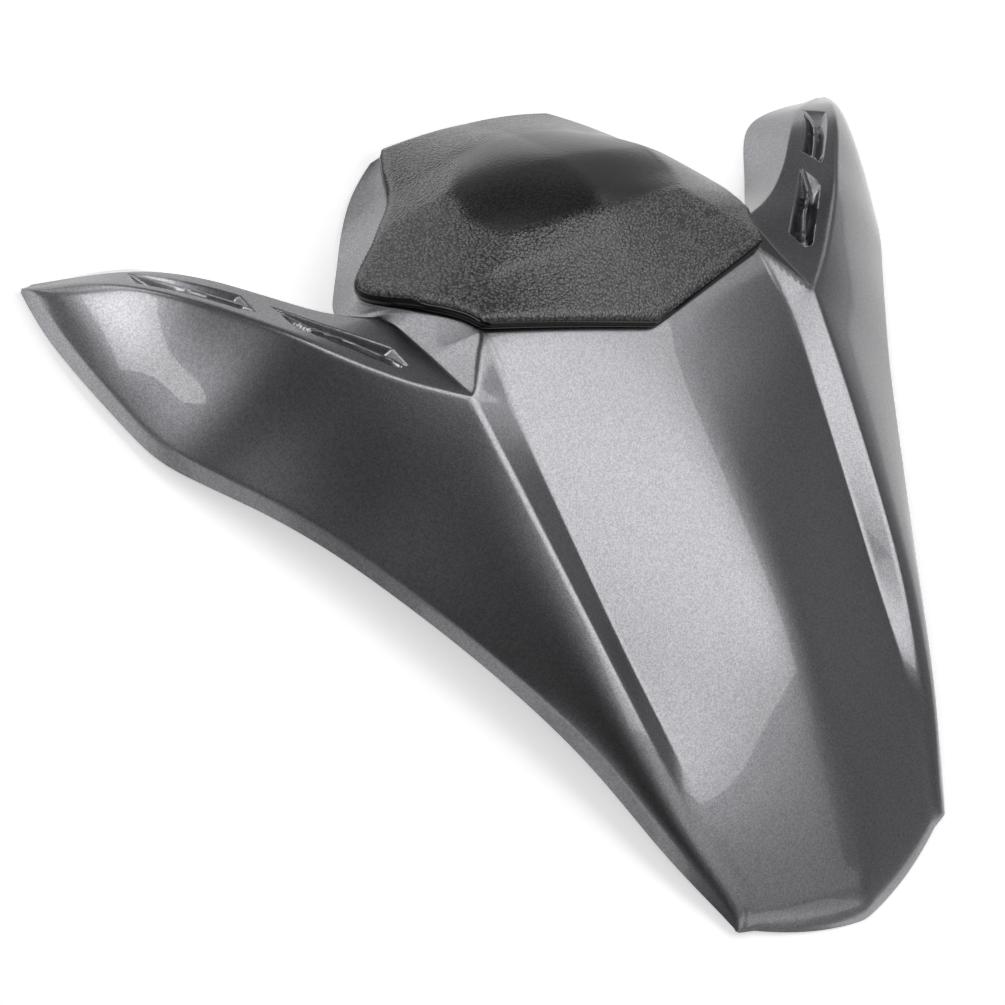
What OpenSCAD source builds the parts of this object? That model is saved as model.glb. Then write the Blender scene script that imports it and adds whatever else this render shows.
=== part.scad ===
// Seat cowl: a painted moulding that takes the place of a pillion seat, with a grained pad on its hump
// and a moulded carrier inside that locks into the seat latch.
// X runs across, +Y points to the front of the bike, +Z is up. It stands on its own lower rim at Z = 0.

/* [Moulding] */
// Wall of the painted moulding
shell_wall = 3; // [2.4:0.2:3.6]
// Width of the turned-in lip along the lower rim
lip_width = 8.5; // [6:0.5:10]
// How far the lip turns in under the flank
lip_turn = 2.2; // [1:0.2:3]
// Height of the long centre panel at the pad
ridge_height = 48; // [44:1:52]
// Half width between the shoulder points
shoulder_half = 82.5; // [80:0.5:86]
// Half width across the wing tips
wing_half = 189.8; // [184:0.2:196]
// Depth of the wings' vent recesses
vent_depth = 5; // [3.5:0.5:6]
// Width of the blade that runs along each vent
blade_width = 3; // [2:0.5:4]

/* [Pad] */
// Thickness of the pad near its edge
pad_edge = 1.8; // [1.5:0.5:4]
// Extra thickness of the pad at the rear corners of its raised middle
pad_rise = 4.8; // [3:0.2:7]
// Thickness of the base, whose edge shows as a bead round the pad
base_thick = 3.2; // [2.6:0.2:4.2]
// Gap between the pad and the moulding below it
pad_gap = 0.3; // [0.2:0.1:0.5]

/* [Carrier] */
// Width of the carrier plate
plate_width = 96; // [84:2:104]
// Length of the carrier plate
plate_length = 76; // [70:1:78]
// Thickness of the carrier plate
plate_thick = 3; // [2.5:0.5:4]
// Height of the plate's underside above the rim
plate_height = 14; // [13:0.5:16]
// Bore for the screws that hold the plate
screw_bore = 5.4; // [5.2:0.1:6]
// Thread diameter of the screws
screw_size = 5; // [4.6:0.1:5]
// Diameter of the latch loop's rod
rod_size = 6; // [5:0.5:7]
// Distance between the latch loop's legs, centre to centre
loop_span = 34; // [28:1:40]

/* [Hidden] */

paint = [0.50, 0.50, 0.51];
black = [0.10, 0.10, 0.11];

// Rows of the grid that makes the moulding, per stretch between two stations
step_rows = 3;

function mid(a, b, f) = a + (b - a) * f;
function unit(v) = v / max(norm(v), 0.0001);

// A smooth curve through a list of points; t counts points from 0
function curve(p, t) =
    let (n = len(p) - 1, i = min(floor(t), n - 1), f = t - i,
         a = p[max(i - 1, 0)], b = p[i], c = p[i + 1], d = p[min(i + 2, n)])
    b + 0.5 * f * ((c - a) + f * ((2 * a - 5 * b + 4 * c - d) + f * (3 * b - a - 3 * c + d)));

// Stations run from the tail's edge (0) over the shoulder (5), the pad's rear edge (6) and the root of
// the gap beside the hump (7) to the front edge (12). Each rail has one point per station.
gap_root = 7;
front = 12;

ridge = [[0, -18.3, 0], [0, -10.5, 7], [0, 30, 20.8], [0, 82, 36.3], [0, 135, 43.4],
    [0, 176, ridge_height - 3.4], [0, 195.4, ridge_height], [0, 232, ridge_height + 1.6]];
crease = [[47, -2.5, 2.4], [46.8, 5, 7], [53, 45, 20.6], [60.4, 93, 26.6], [62.5, 150, 41.4],
    [67.2, 187, 45], [66.8, 213.5, 46], [79, 231, 35]];
shoulder = [[52.5, -0.8, 2.7], [52, 6.4, 4.6], [59.4, 40, 15.3], [68.5, 87.6, 29], [76.8, 146.5, 39.5],
    [shoulder_half, 193.1, 46.1], [99.2, 205.1, 43], [116.2, 220, 40.3]];
rim = [[54.2, 0.2, 2.9], [57.4, 7, 4.2], [69.6, 33, 8], [86, 75, 13.4], [106, 115.5, 15.2],
    [130.4, 157.9, 13.8], [147.5, 182.7, 11.4], [163, 202, 7.2]];
valley_front = [[shoulder_half - 2.6, 195.6, 45.8], [83.5, 213, 37.4], [86.6, 233.5, 29.2]];

hump_ridge = [ridge[7], [0, 248, 46.5], [0, 264, 39], [0, 280, 27], [0, 294, 13.2], [0, 304.5, 2.6]];
hump_crease = [crease[7], [87.5, 246.5, 19.5], [71, 262, 19.5], [56.5, 275, 17], [47, 290, 10],
    [38, 303, 2.9]];
hump_rim = [valley_front[2], [88.5, 247.5, 5], [78, 264, 2.6], [67, 280, 2.6], [56, 292, 2.6],
    [43, 301.5, 2.6]];

wing_ridge = [shoulder[7], [128, 232, 38.8], [141, 245, 34.8], [157, 260, 29.2], [172.5, 273.8, 19.5],
    [187, 285, 6]];
wing_inner = [valley_front[2], [104, 239.5, 28], [121, 251, 26.6], [140, 266.5, 21.6], [158.5, 278, 13.6],
    [181.5, 287.2, 4.6]];
wing_foot = [valley_front[2], [108, 249, 9], [121.5, 259, 1], [138, 279, 0.6], [159, 285.6, 0.6],
    [180, 287.6, 0.4]];
wing_rim = [rim[7], [170.5, 211.3, 5.6], [175, 219, 4], [184.5, 246, 3.8], [189.6, 268, 2.2],
    [wing_half, 285.4, 0]];

// Columns of the grid, from the middle outwards
cols_top = 5;
cols_strip = 2;
cols_wall = 2;
cols_wing = 3;
cols_flank = 5;
cols_lip = 2;
edge_hump = cols_top + cols_strip;
foot_wing = edge_hump + 1;
inner_wing = edge_hump + cols_wall;
top_wing = inner_wing + cols_wing;
lip_top = top_wing + cols_flank;
last = lip_top + cols_lip;
rows = front * step_rows;
root_row = gap_root * step_rows;

function valley(t) = t <= 5 ? mid(curve(crease, t), curve(shoulder, t), 0.72)
    : curve(valley_front, t - 5);
function lip_point(s, r) =
    let (d = unit(s - r), w = min(lip_width, 0.55 * norm(s - r)))
    r + d * w + [lip_turn * min(1, w / lip_width), 0, 0];
// How far the hump's top stands above a straight line across it, at station t
function crown(t) = 1 + 4 * sin(180 * (t - 6) / 6);
function bulge(a, b, f, up) = mid(a, b, f) + up * 4 * f * (1 - f);

// Points of the outer face; i is the row and j the column
function rear_point(t, j) =
    let (c = curve(ridge, t), k = curve(crease, t), v = valley(t), s = curve(shoulder, t),
         r = curve(rim, t), l = lip_point(s, r))
    j <= cols_top ? bulge(c, k, j / cols_top, [0, -2.2 * max(0, 1 - t), t < 6 ? min(2, t) : crown(t)])
    : j <= edge_hump ? mid(k, v, (j - cols_top) / cols_strip)
    : j <= inner_wing ? v
    : j <= top_wing ? mid(v, s, (j - inner_wing) / cols_wing)
    : j <= lip_top ? bulge(s, l, (j - top_wing) / cols_flank, [1.2, 0, 1.2] * min(1, t / 3))
    : mid(l, r, (j - lip_top) / cols_lip);
function front_point(t, j) =
    let (c = curve(hump_ridge, t), k = curve(hump_crease, t), e = curve(hump_rim, t),
         w = curve(wing_foot, t), v = curve(wing_inner, t), s = curve(wing_ridge, t),
         r = curve(wing_rim, t), l = lip_point(s, r))
    j <= cols_top ? bulge(c, k, j / cols_top, [0, 0, crown(t + gap_root)])
    : j <= edge_hump ? mid(k, e, (j - cols_top) / cols_strip)
    : j <= inner_wing ? mid(w, v, (j - foot_wing) / (inner_wing - foot_wing))
    : j <= top_wing ? mid(v, s, (j - inner_wing) / cols_wing)
    : j <= lip_top ? bulge(s, l, (j - top_wing) / cols_flank, [1.2, 0, 1.2])
    : mid(l, r, (j - lip_top) / cols_lip);
function outer_point(i, j) =
    i <= root_row ? rear_point(i / step_rows, j) : front_point(i / step_rows - gap_root, j);

outer = [for (i = [0:rows]) [for (j = [0:last]) outer_point(i, j)]];

// The wall's direction at a grid point, from its neighbours on the same side of the gap
function left_of(i, j) = i <= root_row && j > edge_hump && j <= inner_wing + 1 ? edge_hump
    : j == foot_wing && i > root_row ? j : max(j - 1, 0);
function right_of(i, j) = i <= root_row && j >= edge_hump && j <= inner_wing ? inner_wing + 1
    : j == edge_hump && i > root_row ? j : min(j + 1, last);
function across(i, j) =
    let (a = j == 0 ? [-outer[i][1][0], outer[i][1][1], outer[i][1][2]] : outer[i][left_of(i, j)])
    outer[i][right_of(i, j)] - a;
function along(i, j) = outer[i == root_row && j >= edge_hump && j <= inner_wing ? i : min(i + 1, rows)][j]
    - outer[max(i - 1, 0)][j];
function facing(i, j) = unit(cross(unit(across(i, j)), unit(along(i, j))));
// The wall thins out towards the wing tips and the tail's corners, where the moulding closes up
function wall_at(i, j) =
    let (from_tip = (rows - i) / step_rows, from_tail = i / step_rows)
    shell_wall * (j > edge_hump ? min(1, 0.18 + from_tip * 0.5) : 1)
    * min(1, 0.3 + from_tail * (j >= cols_top ? 0.45 : 1));
function above_rim(p) = [p[0], p[1], max(p[2], 0)];
inner = [for (i = [0:rows]) [for (j = [0:last]) above_rim(outer[i][j] - facing(i, j) * wall_at(i, j))]];

// The mesh of one half, then its mirror image, sharing the middle column
width = last + 1;
half_count = (rows + 1) * width;
function slot_of(i, j) = i * width + (i <= root_row && j > edge_hump && j <= inner_wing ? edge_hump : j);
function is_cell(i, j) = i < root_row ? j < edge_hump || j >= inner_wing : j != edge_hump;
// Layer 0 is the outer face, 1 the inner face; side 0 is the right half, 1 the left
function id(layer, side, i, j) = 2 * half_count * layer + (j == 0 ? 0 : side * half_count) + slot_of(i, j);
function keep(t) = t[0] != t[1] && t[1] != t[2] && t[2] != t[0];
function quad(a, b, c, d) = [for (t = [[a, b, c], [a, c, d]]) if (keep(t)) t];
function turned(q, flip) = flip ? [for (t = q) [t[2], t[1], t[0]]] : q;
skin = [for (layer = [0, 1], side = [0, 1], i = [0:rows - 1], j = [0:last - 1]) if (is_cell(i, j))
    each turned(quad(id(layer, side, i, j), id(layer, side, i + 1, j),
        id(layer, side, i + 1, j + 1), id(layer, side, i, j + 1)), (layer + side) % 2 == 1)];
// Free edges, each as a pair of grid points with the moulding on its left
edges = concat(
    [for (j = [0:last - 1]) [[0, j], [0, j + 1]]],
    [for (i = [0:rows - 1]) [[i, last], [i + 1, last]]],
    [for (j = [last:-1:foot_wing + 1]) [[rows, j], [rows, j - 1]]],
    [for (i = [rows:-1:root_row + 1]) [[i, foot_wing], [i - 1, foot_wing]]],
    [for (i = [root_row:rows - 1]) [[i, edge_hump], [i + 1, edge_hump]]],
    [for (j = [edge_hump:-1:1]) [[rows, j], [rows, j - 1]]]);
rims = [for (side = [0, 1], e = edges)
    each turned(quad(id(0, side, e[0][0], e[0][1]), id(0, side, e[1][0], e[1][1]),
        id(1, side, e[1][0], e[1][1]), id(1, side, e[0][0], e[0][1])), side == 1)];
flat = [for (layer = [outer, inner], flip = [1, -1], row = layer, p = row) [p[0] * flip, p[1], p[2]]];

// Vents: each outline runs round the recess as [station, share of the way from the inner edge to the
// ridge]; the blade runs along the middle of the recess
rear_vent = [[8.9, 0.34], [8.22, 0.78], [6.32, 0.78], [6.14, 0.6], [6.46, 0.42], [7.8, 0.4]];
front_vent = [[11, 0.16], [10.6, 0.78], [8.98, 0.8], [8.9, 0.62], [9.33, 0.31], [10.1, 0.16]];
vents = [rear_vent, front_vent];
// Wall below a recess, and how far the recess narrows towards its floor
vent_wall = 2;
vent_inset = 0.28;
vent_clear = 2;
blade_drop = 0.6;

function wing_top(t, f) = t <= gap_root ? mid(valley(t), curve(shoulder, t), f)
    : mid(curve(wing_inner, t - gap_root), curve(wing_ridge, t - gap_root), f);
function wing_up(t) =
    unit(cross(wing_top(t, 1) - wing_top(t, 0), wing_top(t + 0.05, 0.5) - wing_top(t, 0.5)));
function vent_middle(v) = [for (k = [0, 1]) ([for (p = v) 1] * [for (p = v) p[k]]) / len(v)];
// A vent's outline, shrunk by a share towards its middle and raised along the wing's own upright
function vent_ring(v, shrink, up) =
    [for (p = v) let (m = vent_middle(v), t = mid(p[0], m[0], shrink), f = mid(p[1], m[1], shrink))
        wing_top(t, f) + wing_up(t) * up];
module through_points(rings, grain = 0.2) {
    hull() for (ring = rings, p = ring) translate(p) cube(grain, center = true);
}
module vent_pocket(v) {
    through_points([vent_ring(v, -0.12, -1), vent_ring(v, 0, -vent_depth - vent_wall)]);
}
module vent_recess(v) {
    through_points([vent_ring(v, 0, vent_clear), vent_ring(v, 0, 0), vent_ring(v, vent_inset, -vent_depth)]);
}
// The blade crosses the recess lengthwise, from its first corner to the end between the last two
module vent_blade(v) {
    ends = [[for (k = [0, 1]) mid(v[0][k], v[1][k], 0.35)], [for (k = [0, 1]) mid(v[2][k], v[4][k], 0.5)]];
    hull() for (e = ends, side = [-0.5, 0.5], up = [-vent_depth - 0.5, -blade_drop])
        translate(wing_top(e[0], e[1]) + wing_up(e[0]) * up + [side, side * -1, 0] * blade_width * 0.7)
            cube(0.4, center = true);
}

// Space under the painted moulding's middle, used to end bosses inside its wall
core_rows = [for (i = [5 * step_rows:rows - 2]) i];
core_top = [for (flip = [-1, 1], j = flip < 0 ? [cols_top:-1:1] : [0:cols_top])
    [for (i = core_rows) let (p = mid(outer[i][j], inner[i][j], 0.5)) [p[0] * flip, p[1], p[2]]]];
core_n = len(core_rows);
core_m = len(core_top);
module core() {
    low = [for (c = core_top, p = c) [p[0], p[1], -5]];
    high = [for (c = core_top, p = c) p];
    function at(layer, a, b) = layer * core_n * core_m + a * core_n + b;
    cells = [for (a = [0:core_m - 2], b = [0:core_n - 2]) each concat(
        quad(at(1, a, b), at(1, a, b + 1), at(1, a + 1, b + 1), at(1, a + 1, b)),
        quad(at(0, a, b), at(0, a + 1, b), at(0, a + 1, b + 1), at(0, a, b + 1)))];
    ring = concat([for (a = [0:core_m - 2]) [a, 0]], [for (b = [0:core_n - 2]) [core_m - 1, b]],
        [for (a = [core_m - 1:-1:1]) [a, core_n - 1]], [for (b = [core_n - 1:-1:1]) [0, b]]);
    walls = [for (k = [0:len(ring) - 1]) let (p = ring[k], q = ring[(k + 1) % len(ring)])
        each quad(at(0, p[0], p[1]), at(1, p[0], p[1]), at(1, q[0], q[1]), at(0, q[0], q[1]))];
    polyhedron(points = concat(low, high), faces = concat(cells, walls), convexity = 4);
}

// Screws that hold the carrier go up into bosses under the hump
boss_x = 0.5 * plate_width - 12;
plate_back = 190;
boss_y = [plate_back + 14, plate_back + plate_length - 13];
boss_size = 11;
plate_top = plate_height + plate_thick;
boss_places = [for (x = [-1, 1], y = boss_y) [x * boss_x, y]];
pilot_gap = 0.2;
screw_depth = 12;
// Cuts and drills run this far past what they cut
cut_over = 40;

module cowl_shell() {
    color(paint) in_frame() difference() {
        union() {
            polyhedron(points = flat, faces = concat(skin, rims), convexity = 8);
            for (side = [0, 1], v = vents) mirror([side, 0, 0]) vent_pocket(v);
            intersection() {
                core();
                for (p = boss_places) translate([p[0], p[1], plate_top + pad_gap])
                    cylinder(d = boss_size, h = ridge_height + cut_over, $fn = 24);
            }
        }
        for (side = [0, 1], v = vents) mirror([side, 0, 0]) difference() {
            vent_recess(v);
            vent_blade(v);
        }
        for (p = boss_places) translate([p[0], p[1], 0])
            cylinder(d = screw_size + pilot_gap, h = plate_top + screw_depth + 1.5, $fn = 16);
        for (k = [0:3]) at_stud(k) translate([0, 0, -cut_over / 2])
            cylinder(d = stud_size + stud_gap, h = cut_over, $fn = 16);
    }
}

// Studs under the pad's base pass through the hump and are held by push-on clips inside
stud_size = 4;
stud_reach = 9;
stud_gap = 0.8;
stud_places = [[6.7, 0.34], [9.2, 0.36]];
clip_size = 12;
clip_neck = 7.2;
clip_thick = 1;
clip_gap = 0.6;
steel = [0.62, 0.63, 0.65];
rubber = [0.07, 0.07, 0.07];

// Turns +Z into the direction u and moves to p
module aim(p, u) {
    translate(p) rotate([0, acos(u[2]), atan2(u[1], u[0])]) children();
}
// Places a child at stud k: 0 and 1 on the right, 2 and 3 on the left
module at_stud(k) {
    place = stud_places[k % 2];
    flip = k < 2 ? 1 : -1;
    p = hump(place[0], place[1]);
    u = hump_up(place[0], place[1]);
    aim([p[0] * flip, p[1], p[2]], [u[0] * flip, u[1], u[2]]) children();
}

// The pad follows the hump; s is a station from 6 to 12 and v the share from the middle to the edge
pad_start = 6.04;
pad_end = 11.8;
pad_roll = 0.14;
pad_steps = 18;
pad_rows = concat([pad_start], [for (k = [0:pad_steps]) mid(pad_start + pad_roll, pad_end - pad_roll,
    k / pad_steps)], [pad_end]);
// Share of the half width at each column; the last is the pad's edge
pad_columns = [0, 0.14, 0.28, 0.4, 0.5, 0.6, 0.72, 0.84, 0.94, 0.99];
pad_cols = len(pad_columns) - 1;
function hump(s, v) =
    let (c = s <= gap_root ? curve(ridge, s) : curve(hump_ridge, s - gap_root),
         k = s <= gap_root ? curve(crease, s) : curve(hump_crease, s - gap_root))
    bulge(c, k, v, [0, 0, crown(s)]);
function hump_up(s, v) =
    unit(cross(hump(s, v + 0.02) - hump(s, v - 0.02), hump(s + 0.03, v) - hump(s - 0.03, v)));
// The raised middle, by station: its half width as a share, and how much of pad_rise stands at its edge
// and along the centre line. Facets run from its edge down to the pad's edge.
hip_share = [[6, 1], [7.5, 0.46], [9, 0.62], [10.1, 0.5], [12, 0.6]];
hip_rise = [[6, 0], [7.5, 1], [9, 0.85], [10.1, 0.3], [12, 0]];
middle_rise = [[6, 0], [7.5, 0.4], [9, 0.6], [10.1, 0.5], [12, 0]];
function pad_height(s, v) =
    let (hip = lookup(s, hip_share), top = lookup(s, hip_rise),
         share = v < hip ? mid(lookup(s, middle_rise), top, pow(v / hip, 2))
             : top * (1 - v) / (1.0001 - hip),
         is_edge = v > pad_columns[pad_cols - 1] || s <= pad_start || s >= pad_end)
    is_edge ? pad_edge * 0.4 : pad_edge + pad_rise * share;
function pad_layer(side, h) = [for (s = pad_rows, j = [-pad_cols:pad_cols])
    let (v = pad_columns[abs(j)], p = hump(s, v) + hump_up(s, v) * (h + side * pad_height(s, v)))
    [j < 0 ? -p[0] : p[0], p[1], p[2]]];
// A closed sheet between two layers of points
module sheet(bottom, top) {
    n = 2 * pad_cols + 1;
    m = len(pad_rows);
    function at(layer, a, b) = layer * n * m + a * n + b;
    cells = [for (a = [0:m - 2], b = [0:n - 2]) each concat(
        quad(at(0, a, b), at(0, a, b + 1), at(0, a + 1, b + 1), at(0, a + 1, b)),
        quad(at(1, a, b), at(1, a + 1, b), at(1, a + 1, b + 1), at(1, a, b + 1)))];
    ring = concat([for (b = [0:n - 2]) [0, b]], [for (a = [0:m - 2]) [a, n - 1]],
        [for (b = [n - 1:-1:1]) [m - 1, b]], [for (a = [m - 1:-1:1]) [a, 0]]);
    walls = [for (k = [0:len(ring) - 1]) let (p = ring[k], q = ring[(k + 1) % len(ring)])
        each quad(at(0, p[0], p[1]), at(1, p[0], p[1]), at(1, q[0], q[1]), at(0, q[0], q[1]))];
    polyhedron(points = concat(bottom, top), faces = concat(cells, walls), convexity = 4);
}

// The origin is midway between the tail's tip and the pad's front, on the plane of the rim
origin_y = (ridge[0][1] + max([for (p = pad_layer(1, pad_gap + base_thick)) p[1]])) / 2;
module in_frame() {
    translate([0, -origin_y, 0]) children();
}

module pad_base() {
    color(black) in_frame() union() {
        sheet(pad_layer(0, pad_gap), pad_layer(0, pad_gap + base_thick));
        for (k = [0:3]) at_stud(k) translate([0, 0, -stud_reach])
            cylinder(d = stud_size, h = stud_reach + pad_gap + base_thick / 2);
    }
}
module pad_clip(k) {
    color(steel) in_frame() at_stud(k) translate([0, 0, -shell_wall - clip_gap - clip_thick]) difference() {
        union() {
            cylinder(d = clip_size, h = clip_thick);
            translate([0, 0, -clip_thick]) cylinder(d = clip_neck, h = clip_thick * 2);
        }
        translate([0, 0, -cut_over / 2]) cylinder(d = stud_size + pilot_gap, h = cut_over);
    }
}

module top_pad() {
    color(black) in_frame()
        sheet(pad_layer(0, pad_gap + base_thick), pad_layer(1, pad_gap + base_thick));
}

// The carrier: a ribbed plate with a tongue at the front
corner_r = 8;
rib_thick = 1.8;
rib_height = 5;
rib_gap = 2;
rod_gap = 0.6;
skirt_drop = 4;
tongue_width = 30;
tongue_thick = 4;
tongue_reach = 26;
tongue_drop = 7;
plate_front = plate_back + plate_length;
loop_y = plate_back + plate_length / 2;
// Size of the steel plate that spreads the latch loop's load
loop_plate_margin = 8;
loop_plate_length = 20;
rib_x = loop_span / 2 + loop_plate_margin + rib_gap;
rib_y = loop_plate_length / 2 + rib_gap;
rib_end = 6;
bumper_hole = 6;
bumper_inset = 9;
bumper_x = 20;
bumper_places = [for (x = [-1, 1], y = [plate_back + bumper_inset, plate_front - bumper_inset])
    [x * bumper_x, y]];

module rounded_block(w, l, h, r) {
    for (x = [-1, 1], y = [-1, 1]) translate([x * (w / 2 - r), y * (l / 2 - r), 0]) cylinder(r = r, h = h);
    translate([-w / 2 + r, -l / 2, 0]) cube([w - 2 * r, l, h]);
    translate([-w / 2, -l / 2 + r, 0]) cube([w, l - 2 * r, h]);
}
module carrier() {
    color(black) in_frame() difference() {
        union() {
            translate([0, loop_y, plate_height])
                rounded_block(plate_width, plate_length, plate_thick, corner_r);
            // Skirt below the plate's edge
            difference() {
                translate([0, loop_y, plate_height - skirt_drop])
                    rounded_block(plate_width, plate_length, skirt_drop + 1, corner_r);
                translate([0, loop_y, plate_height - skirt_drop - 1])
                    rounded_block(plate_width - 2 * rib_thick, plate_length - 2 * rib_thick, skirt_drop + 1,
                        corner_r - rib_thick);
            }
            // Ribs on top, clear of the bosses and round the latch loop's plate
            for (x = [-rib_x - rib_thick, rib_x]) translate([x, plate_back + rib_end, plate_height])
                cube([rib_thick, plate_length - 2 * rib_end, plate_thick + rib_height]);
            for (y = [-rib_y - rib_thick, rib_y]) translate([-rib_x, loop_y + y, plate_height])
                cube([2 * rib_x, rib_thick, plate_thick + rib_height]);
            // Tongue that hooks under the frame's cross bar
            translate([-tongue_width / 2, plate_front - 4, plate_height - tongue_drop])
                cube([tongue_width, 4, tongue_drop + 1]);
            translate([-tongue_width / 2, plate_front - 4, plate_height - tongue_drop])
                cube([tongue_width, tongue_reach - tongue_width / 2 + 4, tongue_thick]);
            translate([0, plate_front + tongue_reach - tongue_width / 2, plate_height - tongue_drop])
                cylinder(d = tongue_width, h = tongue_thick);
        }
        for (p = boss_places) translate([p[0], p[1], 0]) cylinder(d = screw_bore, h = cut_over);
        for (x = [-1, 1]) translate([x * loop_span / 2, loop_y, 0])
            cylinder(d = rod_size + rod_gap, h = cut_over);
        for (p = bumper_places) translate([p[0], p[1], 0]) cylinder(d = bumper_hole, h = cut_over);
    }
}

// Screw heads sit under the plate
head_size = 9.6;
head_height = 3.2;
socket_size = 4;
module carrier_screw(k) {
    p = boss_places[k];
    color(steel) in_frame() translate([p[0], p[1], 0]) difference() {
        union() {
            translate([0, 0, plate_height - head_height]) cylinder(d = head_size, h = head_height);
            translate([0, 0, plate_height - 1]) cylinder(d = screw_size, h = plate_thick + screw_depth + 1);
        }
        translate([0, 0, plate_height - head_height - 1]) cylinder(d = socket_size, h = 3, $fn = 6);
    }
}

// The latch loop: a bent rod with a collar on each leg, its bar just above the rim
bend_r = 6;
bar_z = rod_size / 2 + 2;
collar_size = 12;
collar_thick = 2;
nut_size = 10;
nut_height = 5;
thread_gap = 0.1;
washer_plate = 2;
leg_top = plate_top + washer_plate + nut_height + 2;
module latch_loop() {
    color(steel) in_frame() union() {
        translate([-loop_span / 2 + bend_r, loop_y, bar_z]) rotate([0, 90, 0])
            cylinder(d = rod_size, h = loop_span - 2 * bend_r);
        for (side = [-1, 1]) {
            translate([side * (loop_span / 2 - bend_r), loop_y, bar_z + bend_r])
                rotate([90, 0, 0]) rotate([0, 0, side > 0 ? 270 : 180])
                    rotate_extrude(angle = 90) translate([bend_r, 0]) circle(d = rod_size);
            translate([side * loop_span / 2, loop_y, bar_z + bend_r])
                cylinder(d = rod_size, h = leg_top - bar_z - bend_r);
            translate([side * loop_span / 2, loop_y, plate_height - collar_thick])
                cylinder(d = collar_size, h = collar_thick);
        }
    }
}
module loop_plate() {
    color(steel) in_frame() difference() {
        translate([0, loop_y, plate_top])
            rounded_block(loop_span + 2 * loop_plate_margin, loop_plate_length, washer_plate, 4);
        for (x = [-1, 1]) translate([x * loop_span / 2, loop_y, 0])
            cylinder(d = rod_size + rod_gap, h = cut_over);
    }
}
module loop_nut(side) {
    color(steel) in_frame() translate([side * loop_span / 2, loop_y, plate_top + washer_plate])
        difference() {
            cylinder(d = nut_size / cos(30), h = nut_height, $fn = 6);
            translate([0, 0, -1]) cylinder(d = rod_size + thread_gap, h = nut_height + 2);
        }
}

// Rubber feet pulled through holes in the plate
foot_size = 14;
foot_height = 7;
module bumper(k) {
    p = bumper_places[k];
    color(rubber) in_frame() translate([p[0], p[1], 0]) union() {
        translate([0, 0, plate_height - foot_height])
            cylinder(d1 = foot_size - 2, d2 = foot_size, h = foot_height);
        translate([0, 0, plate_height - 1]) cylinder(d = bumper_hole - pad_gap, h = plate_thick + 2);
        translate([0, 0, plate_top]) cylinder(d1 = bumper_hole + 2.4, d2 = bumper_hole - 2, h = 4);
    }
}

cowl_shell();
pad_base();
top_pad();
pad_clip(0);  // pad_clip_1
pad_clip(1);  // pad_clip_2
pad_clip(2);  // pad_clip_3
pad_clip(3);  // pad_clip_4
carrier();
latch_loop();
loop_plate();
loop_nut(-1);  // loop_nut_1
loop_nut(1);  // loop_nut_2
carrier_screw(0);  // carrier_screw_1
carrier_screw(1);  // carrier_screw_2
carrier_screw(2);  // carrier_screw_3
carrier_screw(3);  // carrier_screw_4
bumper(0);  // bumper_1
bumper(1);  // bumper_2
bumper(2);  // bumper_3
bumper(3);  // bumper_4
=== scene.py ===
import math

import bmesh
import bpy
import numpy as np
from mathutils import Matrix, Vector


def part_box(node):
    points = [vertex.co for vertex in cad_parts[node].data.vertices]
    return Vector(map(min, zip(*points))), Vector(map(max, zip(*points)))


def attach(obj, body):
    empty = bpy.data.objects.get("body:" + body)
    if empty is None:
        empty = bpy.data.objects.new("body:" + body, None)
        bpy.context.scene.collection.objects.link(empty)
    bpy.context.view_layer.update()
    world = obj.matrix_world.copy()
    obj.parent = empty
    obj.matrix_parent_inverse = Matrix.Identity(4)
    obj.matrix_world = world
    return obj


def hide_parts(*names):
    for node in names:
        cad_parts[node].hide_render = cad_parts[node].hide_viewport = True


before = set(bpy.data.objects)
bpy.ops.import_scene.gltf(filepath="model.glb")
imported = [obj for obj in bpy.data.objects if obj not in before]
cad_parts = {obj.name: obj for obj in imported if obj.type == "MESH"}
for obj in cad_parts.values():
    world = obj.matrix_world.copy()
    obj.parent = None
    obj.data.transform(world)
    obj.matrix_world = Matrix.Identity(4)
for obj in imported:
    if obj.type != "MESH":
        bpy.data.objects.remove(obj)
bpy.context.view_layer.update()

# Camera
# The photograph looks down on the cowl from its left, beside the tail. The camera's place was worked out
# from matching points left and right, in millimetres from the tail's corners.
MM = 0.001
TAIL_TIP_Y = -18.3
origin_y = TAIL_TIP_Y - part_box("cowl_shell")[0][1] / MM
EYE = Vector((-459.8, 44.0, 557.9))
LOOK = Vector((0.5758, 0.1752, -0.7986))
UPWARD = Vector((0.2780, 0.8766, 0.3928))
PHOTO_SIZE = 1005
FOCAL_PIXELS = 2000
SENSOR = 36.0


def point(x, y, z):
    return Vector((x, y - origin_y, z)) * MM


def camera_at(eye, look, upward):
    camera = bpy.data.objects.new("camera", bpy.data.cameras.new("camera"))
    camera.data.sensor_width = SENSOR
    camera.data.lens = SENSOR * FOCAL_PIXELS / PHOTO_SIZE
    back = -look.normalized()
    side = upward.cross(back).normalized()
    top = back.cross(side)
    turn = Matrix((side, top, back)).transposed().to_4x4()
    camera.matrix_world = Matrix.Translation(point(*eye)) @ turn
    bpy.context.scene.collection.objects.link(camera)
    return camera


bpy.context.scene.camera = camera_at(EYE, LOOK, UPWARD)
bpy.context.scene.view_settings.view_transform = "Standard"

# Painted moulding
# One injection moulding in ABS with a 3 mm wall: a long tail panel between two creases, dark flanks that
# run out into the wings, and a hump that carries the pad. It is drawn from the moulding's own edges.
GAP_ROOT = 7
FRONT = 12
WALL = 3.0
LIP = 8.2
LIP_MOST = 0.55
LIP_TURN = 4.0
# The tail's end bows backwards, the panel and the hump upwards and the flanks outwards, in the middle
TAIL_BOW = 2.2
PANEL_BOW = 0.3
FLANK_BOW, FLANK_BOW_RUN = 1.2, 3
CROWN, CROWN_RISE = 1, 4
CROWN_START = 6
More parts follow.
